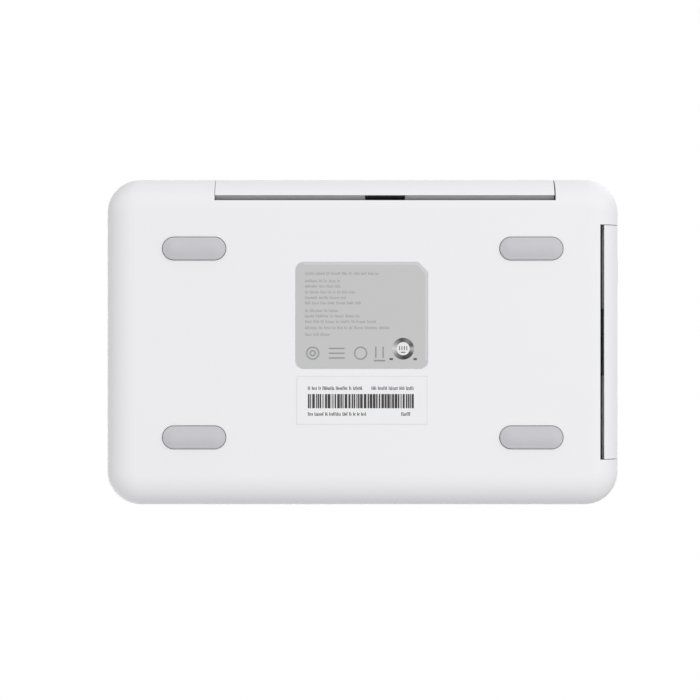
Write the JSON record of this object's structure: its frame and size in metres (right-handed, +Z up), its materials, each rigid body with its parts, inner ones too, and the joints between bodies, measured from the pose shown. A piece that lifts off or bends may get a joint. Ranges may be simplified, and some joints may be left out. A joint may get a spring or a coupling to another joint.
{
  "type": "dye sublimation photo printer",
  "caption": "Compact white home photo printer with hinged front and side covers, ribbon cassette, thermal head, rollers and gear drive.",
  "frame": {"origin": "on the table under the middle of the case", "axes": "+X to the right seen from the front, +Y to the rear, +Z up; the front cover is at -Y and the side cover at +X"},
  "size_m": [0.194, 0.1234, 0.084],
  "materials": {
    "case_white": "fine satin moulded ABS",
    "foot_grey": "matt, light grey",
    "plate_grey": "printed polyester plate, matt",
    "label_white": "coated paper sticker",
    "sheet_steel": "zinc-plated sheet, satin",
    "shaft_steel": "ground steel",
    "screw_steel": "black zinc",
    "black_plastic": "glass-filled nylon, black",
    "gear_white": "natural acetal",
    "roller_rubber": "ground rubber",
    "board_green": "solder-masked circuit board",
    "motor_can": "zinc-plated can",
    "sink_aluminium": "extruded, plain",
    "head_ceramic": "glazed ceramic",
    "cassette_grey": "dark grey moulded plastic",
    "spool_white": "moulded plastic",
    "film_dye": "dye-coated film",
    "spring_steel": "bright spring wire",
    "ring_clear": "milky light guide"
  },
  "bodies": {
    "case": {"bottom_cover": "case_white", "upper_housing": "case_white", "top_cover": "case_white", "front_hinge_rod": "shaft_steel", "side_hinge_rod": "shaft_steel", "front_hinge_bracket": "black_plastic", "side_hinge_bracket": "black_plastic", "foot_front_left": "foot_grey", "foot_rear_left": "foot_grey", "foot_front_right": "foot_grey", "foot_rear_right": "foot_grey", "rating_plate": "plate_grey", "serial_label": "label_white", "case_screws": "screw_steel", "base_plate": "sheet_steel", "side_plate_left": "sheet_steel", "side_plate_right": "sheet_steel", "drive_plate": "sheet_steel", "top_tie": "sheet_steel", "paper_deck": "black_plastic", "tray_rails": "black_plastic", "rear_paper_guide": "black_plastic", "main_board": "board_green", "power_board": "board_green", "button_board": "board_green", "dc_jack": "black_plastic", "fan_frame": "black_plastic", "feed_motor": "motor_can", "pickup_motor": "motor_can", "ribbon_motor": "motor_can", "ribbon_film": "film_dye", "ribbon_cassette": "cassette_grey", "head_pivot_shaft": "shaft_steel", "head_springs": "spring_steel", "button_light_ring": "ring_clear"},
    "front_door": {"front_door": "case_white"},
    "side_door": {"side_door": "case_white"},
    "power_button": {"power_button": "case_white"},
    "rear_flap": {"rear_flap": "case_white"},
    "print_head": {"head_arm": "sheet_steel", "heat_sink": "sink_aluminium", "thermal_head": "head_ceramic"},
    "feed_roller": {"feed_roller": "shaft_steel", "feed_gear": "gear_white"},
    "idler": {"idler_gear": "gear_white"},
    "feed_pinion": {"feed_pinion": "gear_white"},
    "pinch_roller": {"pinch_roller": "roller_rubber"},
    "platen_roller": {"platen_roller": "roller_rubber"},
    "pickup": {"pickup_shaft": "gear_white", "pickup_tyre": "roller_rubber"},
    "pickup_pinion": {"pickup_pinion": "gear_white"},
    "takeup": {"takeup_hub": "gear_white", "takeup_spool": "spool_white", "takeup_film": "film_dye"},
    "supply": {"supply_hub": "gear_white", "supply_spool": "spool_white", "supply_film": "film_dye"},
    "ribbon_pinion": {"ribbon_pinion": "gear_white"},
    "fan": {"fan_rotor": "black_plastic"},
    "latch": {"cassette_latch": "black_plastic"}
  },
  "joints": [
    {"name": "front_door_hinge", "type": "hinge", "parent": "case", "child": "front_door", "pos_m": [0.00845, -0.0558, 0.0079], "axis": [1, 0, 0], "range_deg": [0, 90]},
    {"name": "side_door_hinge", "type": "hinge", "parent": "case", "child": "side_door", "pos_m": [0.0916, 0, 0.0074], "axis": [0, 1, 0], "range_deg": [0, 90]},
    {"name": "power_button_press", "type": "slide", "parent": "case", "child": "power_button", "axis": [0, 0, -1], "range_m": [0, 0.0008], "stiffness_N_per_m": 900},
    {"name": "rear_flap_hinge", "type": "hinge", "parent": "case", "child": "rear_flap", "pos_m": [0.0085, 0.0605, 0.0482], "axis": [1, 0, 0], "range_deg": [0, 75]},
    {"name": "head_lift", "type": "hinge", "parent": "case", "child": "print_head", "pos_m": [0.00845, 0.034, 0.07], "axis": [-1, 0, 0], "range_deg": [0, 7], "stiffness_Nm_per_rad": 2, "deforming": ["head_springs"]},
    {"name": "feed_roller_spin", "type": "hinge", "parent": "case", "child": "feed_roller", "pos_m": [0.00845, 0.03, 0.0397], "axis": [1, 0, 0], "continuous": true},
    {"name": "idler_spin", "type": "hinge", "parent": "case", "child": "idler", "pos_m": [-0.061, 0.01115, 0.04849], "axis": [1, 0, 0], "continuous": true},
    {"name": "feed_pinion_spin", "type": "hinge", "parent": "case", "child": "feed_pinion", "pos_m": [-0.061, -0.00163, 0.05314], "axis": [1, 0, 0], "continuous": true},
    {"name": "pinch_roller_spin", "type": "hinge", "parent": "case", "child": "pinch_roller", "pos_m": [0.00845, 0.03, 0.0465], "axis": [1, 0, 0], "continuous": true},
    {"name": "platen_roller_spin", "type": "hinge", "parent": "case", "child": "platen_roller", "pos_m": [0.00845, -0.006, 0.0382], "axis": [1, 0, 0], "continuous": true},
    {"name": "pickup_spin", "type": "hinge", "parent": "case", "child": "pickup", "pos_m": [0.00845, 0.014, 0.036], "axis": [1, 0, 0], "continuous": true},
    {"name": "pickup_pinion_spin", "type": "hinge", "parent": "case", "child": "pickup_pinion", "pos_m": [-0.0669, 0.0072, 0.02422], "axis": [1, 0, 0], "continuous": true},
    {"name": "takeup_spin", "type": "hinge", "parent": "case", "child": "takeup", "pos_m": [0.00845, -0.03, 0.056], "axis": [1, 0, 0], "continuous": true},
    {"name": "supply_spin", "type": "hinge", "parent": "case", "child": "supply", "pos_m": [0.00845, 0.016, 0.056], "axis": [1, 0, 0], "continuous": true},
    {"name": "ribbon_pinion_spin", "type": "hinge", "parent": "case", "child": "ribbon_pinion", "pos_m": [-0.061, -0.04414, 0.04941], "axis": [1, 0, 0], "continuous": true},
    {"name": "fan_spin", "type": "hinge", "parent": "case", "child": "fan", "pos_m": [-0.074, 0.0532, 0.0595], "axis": [0, 1, 0], "continuous": true},
    {"name": "cassette_latch_turn", "type": "hinge", "parent": "case", "child": "latch", "pos_m": [0.0754, -0.033, 0.0725], "axis": [-1, 0, 0], "range_deg": [0, 50], "stiffness_Nm_per_rad": 0.02}
  ],
  "couplings": [
    {"joint": "idler_spin", "follows": "feed_roller_spin", "ratio": -1.3636},
    {"joint": "feed_pinion_spin", "follows": "feed_roller_spin", "ratio": 2.5},
    {"joint": "pinch_roller_spin", "follows": "feed_roller_spin", "ratio": -1.1667},
    {"joint": "pickup_pinion_spin", "follows": "pickup_spin", "ratio": -1.8333},
    {"joint": "supply_spin", "follows": "takeup_spin", "ratio": 0.77381},
    {"joint": "ribbon_pinion_spin", "follows": "takeup_spin", "ratio": -2.25}
  ]
}
